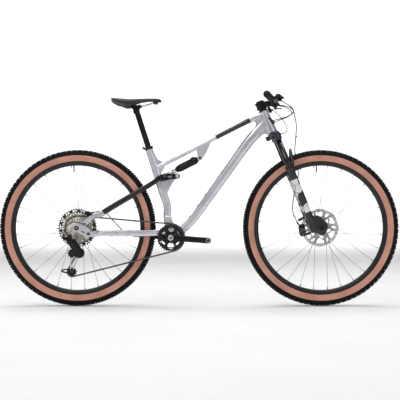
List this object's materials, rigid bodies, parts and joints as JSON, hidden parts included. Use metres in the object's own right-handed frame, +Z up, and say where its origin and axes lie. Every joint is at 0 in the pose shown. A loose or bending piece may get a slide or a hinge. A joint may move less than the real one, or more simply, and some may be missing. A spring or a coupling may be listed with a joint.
{
  "type": "mountain bike",
  "caption": "Full-suspension mountain bike with a rocker-driven shock, telescopic fork, disc brakes, wide-range chain drive, flat bar and no pedals.",
  "frame": {"origin": "on the ground, midway between the two axles, in the middle plane", "axes": "+X forward, +Y to the rider's left, +Z up"},
  "size_m": [1.88, 0.7488, 0.9858],
  "materials": {
    "frame_paint": "satin metallic silver",
    "stay_paint": "satin black",
    "bearing_steel": "satin",
    "black_alloy": "black anodised satin",
    "bolt_steel": "black oxide",
    "rail_steel": "satin black",
    "saddle_plastic": "moulded matte",
    "saddle_skin": "matte synthetic leather",
    "grip_rubber": "matte",
    "control_plastic": "fine moulded",
    "fork_paint": "gloss black with pale facets",
    "axle_alloy": "black anodised",
    "caliper_paint": "satin black",
    "tyre_rubber": "black tread with tan side walls",
    "rim_paint": "satin black",
    "spoke_steel": "dark drawn wire",
    "rotor_steel": "ground",
    "hanger_alloy": "satin",
    "cassette_steel": "nickel, two largest cogs black",
    "derailleur_black": "satin black",
    "pulley_plastic": "moulded",
    "chain_steel": "nickel plated",
    "shock_black": "black anodised gloss",
    "shaft_chrome": "polished dark",
    "hose_black": "smooth jacket"
  },
  "bodies": {
    "frame": {"main_frame": "frame_paint", "headset": "bearing_steel", "seat_clamp": "black_alloy", "bottom_bracket": "bearing_steel", "frame_bolts": "bolt_steel", "rear_brake_hose": "hose_black", "control_cables": "hose_black", "chain": "chain_steel"},
    "seatpost": {"seatpost": "black_alloy", "saddle_clamp": "black_alloy", "saddle_rails": "rail_steel", "saddle_shell": "saddle_plastic", "saddle_cover": "saddle_skin"},
    "steering": {"fork_crown": "black_alloy", "stem": "black_alloy", "stem_faceplate": "black_alloy", "cockpit_bolts": "bolt_steel", "steerer_spacers": "black_alloy", "handlebar": "black_alloy", "grips": "grip_rubber", "brake_cylinders": "black_alloy", "shifter_body": "control_plastic", "lockout_remote": "control_plastic", "front_brake_hose": "hose_black"},
    "brake_lever_left": {"brake_lever_left": "black_alloy"},
    "brake_lever_right": {"brake_lever_right": "black_alloy"},
    "shift_lever": {"shift_lever": "control_plastic"},
    "release_lever": {"release_lever": "control_plastic"},
    "lockout_lever": {"lockout_lever": "control_plastic"},
    "fork_lowers": {"fork_lowers": "fork_paint", "front_axle": "axle_alloy", "front_caliper": "caliper_paint"},
    "front_wheel": {"front_tyre": "tyre_rubber", "front_rim": "rim_paint", "front_spokes": "spoke_steel", "front_hub": "black_alloy", "front_rotor": "rotor_steel"},
    "chainstay": {"chainstay": "frame_paint", "stay_pivot_bolts": "bolt_steel"},
    "seatstay": {"seatstay": "stay_paint", "rear_axle": "axle_alloy", "rear_caliper": "caliper_paint", "derailleur_hanger": "hanger_alloy", "derailleur_knuckle": "derailleur_black", "derailleur_arm": "derailleur_black", "derailleur_cage": "derailleur_black"},
    "rear_wheel": {"rear_tyre": "tyre_rubber", "rear_rim": "rim_paint", "rear_spokes": "spoke_steel", "rear_hub": "black_alloy", "rear_rotor": "rotor_steel"},
    "cassette": {"cassette": "cassette_steel"},
    "crankset": {"crank_arm_right": "black_alloy", "crank_arm_left": "black_alloy", "chainring": "black_alloy"},
    "rocker": {"rocker_link": "black_alloy"},
    "shock_body": {"shock_body": "shock_black"},
    "shock_shaft": {"shock_shaft": "shaft_chrome"},
    "guide_pulley": {"guide_pulley": "pulley_plastic"},
    "tension_pulley": {"tension_pulley": "pulley_plastic"}
  },
  "joints": [
    {"name": "seatpost_height", "type": "slide", "parent": "frame", "child": "seatpost", "axis": [-0.307, 0, 0.9517], "range_m": [-0.09, 0.04]},
    {"name": "steering", "type": "hinge", "parent": "frame", "child": "steering", "pos_m": [0.5245, 0, 0.368], "axis": [-0.3746, 0, 0.9272], "range_deg": [-60, 60], "deforming": ["rear_brake_hose", "control_cables"]},
    {"name": "fork_travel", "type": "slide", "parent": "steering", "child": "fork_lowers", "axis": [-0.3746, 0, 0.9272], "range_m": [0, 0.1], "stiffness_N_per_m": 9000, "springref_m": -0.02, "deforming": ["front_brake_hose"]},
    {"name": "front_wheel_spin", "type": "hinge", "parent": "fork_lowers", "child": "front_wheel", "pos_m": [0.572, 0, 0.368], "axis": [0, 1, 0], "continuous": true},
    {"name": "main_pivot", "type": "hinge", "parent": "frame", "child": "chainstay", "pos_m": [-0.133, 0, 0.362], "axis": [0, 1, 0], "range_deg": [0, 12.5], "stiffness_Nm_per_rad": 1500, "springref_deg": -1.72, "deforming": ["chain"]},
    {"name": "stay_pivot", "type": "hinge", "parent": "chainstay", "child": "seatstay", "pos_m": [-0.517, 0, 0.341], "axis": [0, 1, 0], "range_deg": [-10.1, 0]},
    {"name": "rocker_pivot", "type": "hinge", "parent": "frame", "child": "rocker", "pos_m": [-0.103, 0, 0.612], "axis": [0, 1, 0], "range_deg": [0, 47]},
    {"name": "shock_pivot", "type": "hinge", "parent": "frame", "child": "shock_body", "pos_m": [0.003, 0, 0.697], "axis": [0, 1, 0], "range_deg": [0, 12]},
    {"name": "shock_stroke", "type": "slide", "parent": "shock_body", "child": "shock_shaft", "axis": [0.8923, 0, 0.4515], "range_m": [0, 0.033]},
    {"name": "rear_wheel_spin", "type": "hinge", "parent": "seatstay", "child": "rear_wheel", "pos_m": [-0.572, 0, 0.368], "axis": [0, 1, 0], "continuous": true},
    {"name": "crank_spin", "type": "hinge", "parent": "frame", "child": "crankset", "pos_m": [-0.134, 0, 0.323], "axis": [0, 1, 0], "continuous": true},
    {"name": "cassette_spin", "type": "hinge", "parent": "seatstay", "child": "cassette", "pos_m": [-0.572, 0, 0.368], "axis": [0, 1, 0], "continuous": true},
    {"name": "guide_pulley_spin", "type": "hinge", "parent": "seatstay", "child": "guide_pulley", "pos_m": [-0.596, 0, 0.25], "axis": [0, 1, 0], "continuous": true},
    {"name": "tension_pulley_spin", "type": "hinge", "parent": "seatstay", "child": "tension_pulley", "pos_m": [-0.59583, 0, 0.16286], "axis": [0, 1, 0], "continuous": true},
    {"name": "brake_lever_right", "type": "hinge", "parent": "steering", "child": "brake_lever_right", "pos_m": [0.36903, -0.19, 0.96199], "axis": [0, 0, -1], "range_deg": [0, 17], "stiffness_Nm_per_rad": 0.6, "springref_deg": -8.59},
    {"name": "brake_lever_left", "type": "hinge", "parent": "steering", "child": "brake_lever_left", "pos_m": [0.36903, 0.19, 0.96199], "axis": [0, 0, 1], "range_deg": [0, 17], "stiffness_Nm_per_rad": 0.6, "springref_deg": -8.59},
    {"name": "shift_lever", "type": "hinge", "parent": "steering", "child": "shift_lever", "pos_m": [0.34925, -0.176, 0.9396], "axis": [0, 0, 1], "range_deg": [0, 30], "stiffness_Nm_per_rad": 0.1, "springref_deg": -1.72},
    {"name": "release_lever", "type": "hinge", "parent": "steering", "child": "release_lever", "pos_m": [0.34925, -0.176, 0.9396], "axis": [0, 0, 1], "range_deg": [0, 14], "stiffness_Nm_per_rad": 0.1, "springref_deg": -1.72},
    {"name": "lockout_lever", "type": "hinge", "parent": "steering", "child": "lockout_lever", "pos_m": [0.34389, 0.172, 0.93349], "axis": [0, 0, -1], "range_deg": [0, 35]}
  ],
  "couplings": [
    {"joint": "stay_pivot", "follows": "main_pivot", "ratio": -0.8},
    {"joint": "rocker_pivot", "follows": "main_pivot", "ratio": 3.725},
    {"joint": "shock_pivot", "follows": "main_pivot", "ratio": 0.944},
    {"joint": "shock_stroke", "follows": "main_pivot", "m_per_rad": 0.1469},
    {"joint": "cassette_spin", "follows": "crank_spin", "ratio": 1.1429},
    {"joint": "guide_pulley_spin", "follows": "crank_spin", "ratio": -2.9091},
    {"joint": "tension_pulley_spin", "follows": "crank_spin", "ratio": 2.9091}
  ]
}
